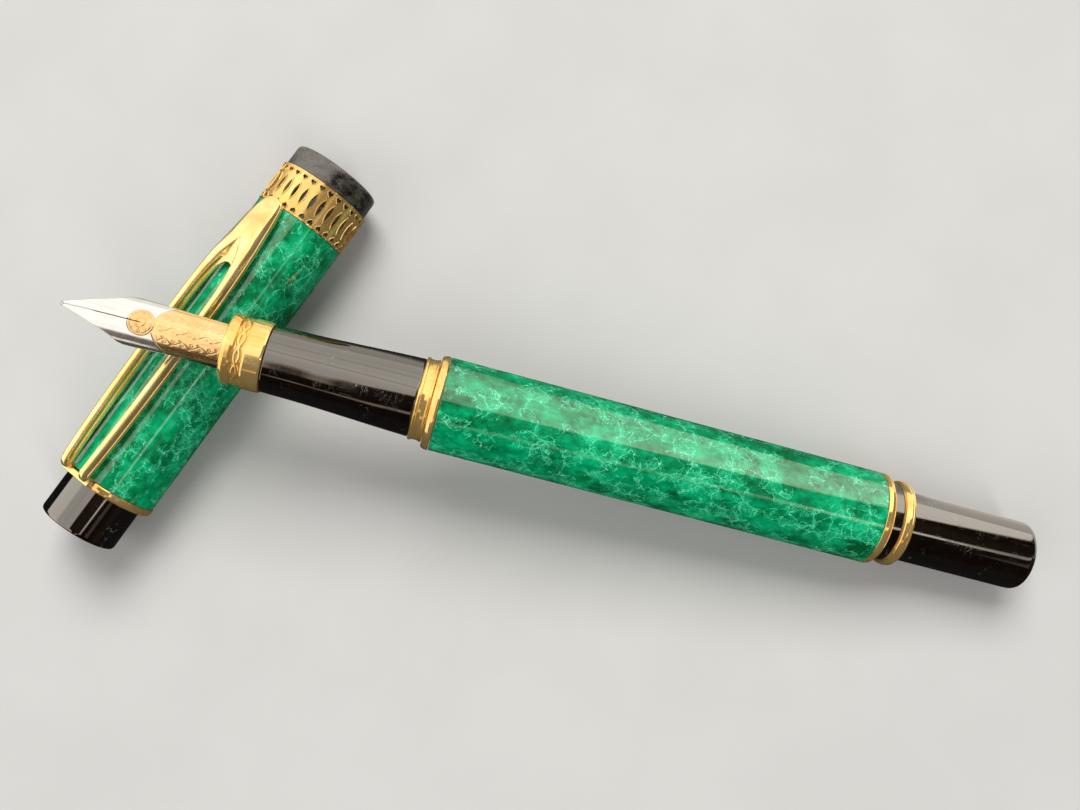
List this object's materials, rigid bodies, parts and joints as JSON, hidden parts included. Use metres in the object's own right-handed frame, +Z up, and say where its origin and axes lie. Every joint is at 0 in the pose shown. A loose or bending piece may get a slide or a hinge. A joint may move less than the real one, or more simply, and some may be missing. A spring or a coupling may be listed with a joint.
{
  "type": "fountain pen",
  "caption": "Fountain pen with a marbled lacquer barrel and gilt rings, laid nib-first across its own clip cap.",
  "frame": {"origin": "centre of the bounding box, on the surface that the cap and the tail end lie on", "axes": "+Y along the cap, towards its open mouth; +X roughly from the nib towards the pen's tail end; +Z up"},
  "size_m": [0.117, 0.0702, 0.0212],
  "materials": {
    "gold_plate": "bright gilt plating",
    "nib_gold": "polished gold, tip and edges plated white, engraved",
    "green_lacquer": "deep emerald lacquer with pale mint veins under a clear gloss coat, on brass",
    "black_resin": "high gloss black with fine handling scratches",
    "black_feed": "satin black",
    "inner_brass": "turned brass",
    "liner_plastic": "matt black",
    "screw_steel": "turned steel",
    "clear_tube": "clear",
    "piston_seal": "dark seal",
    "converter_plastic": "satin black",
    "converter_metal": "bright nickel"
  },
  "bodies": {
    "cap": {"cap_tube": "green_lacquer", "cap_liner": "liner_plastic", "cap_band": "gold_plate", "mouth_sleeve": "black_resin", "crown_ring": "gold_plate", "finial": "black_resin", "finial_screw": "screw_steel"},
    "clip": {"clip": "gold_plate"},
    "pen": {"grip_section": "black_resin", "front_ring": "gold_plate", "nib": "nib_gold", "feed": "black_feed", "ink_nipple": "converter_plastic", "section_thread": "inner_brass", "clutch_ring": "gold_plate"},
    "barrel_bush": {"barrel_bush": "inner_brass"},
    "barrel": {"barrel_tube": "green_lacquer", "barrel_ring": "gold_plate", "tail_ring_front": "gold_plate", "tail_spacer": "black_resin", "tail_ring_rear": "gold_plate", "tail_end": "black_resin", "tail_screw": "screw_steel"},
    "converter": {"converter_sleeve": "converter_metal", "converter_tube": "clear_tube", "converter_band": "converter_metal"},
    "converter_knob": {"converter_knob": "converter_plastic"},
    "converter_piston": {"converter_piston": "piston_seal", "converter_rod": "converter_metal"}
  },
  "joints": [
    {"name": "clip_flex", "type": "hinge", "parent": "cap", "child": "clip", "pos_m": [-0.04758, -0.02857, 0.01227], "axis": [0.9483, 0, 0.3173], "range_deg": [0, 1.2], "stiffness_Nm_per_rad": 5},
    {"name": "pen_lift", "type": "slide", "parent": "cap", "child": "pen", "axis": [0, 0, 1], "range_m": [0, 0.06]},
    {"name": "barrel_pull", "type": "slide", "parent": "pen", "child": "barrel_bush", "axis": [0.9306, 0.3464, -0.1184], "range_m": [0, 0.052]},
    {"name": "barrel_turn", "type": "hinge", "parent": "barrel_bush", "child": "barrel", "pos_m": [-0.01137, 0.00564, 0.01312], "axis": [-0.9306, -0.3464, 0.1184], "range_deg": [0, 2160]},
    {"name": "converter_pull", "type": "slide", "parent": "pen", "child": "converter", "axis": [0.9306, 0.3464, -0.1184], "range_m": [0, 0.0053]},
    {"name": "knob_turn", "type": "hinge", "parent": "converter", "child": "converter_knob", "pos_m": [0.02353, 0.01863, 0.00868], "axis": [-0.9306, -0.3464, 0.1184], "range_deg": [0, 2880]},
    {"name": "piston_travel", "type": "slide", "parent": "converter", "child": "converter_piston", "axis": [0.9306, 0.3464, -0.1184], "range_m": [0, 0.0132]}
  ],
  "couplings": [
    {"joint": "knob_turn", "follows": "piston_travel", "rad_per_m": 3807.6}
  ]
}
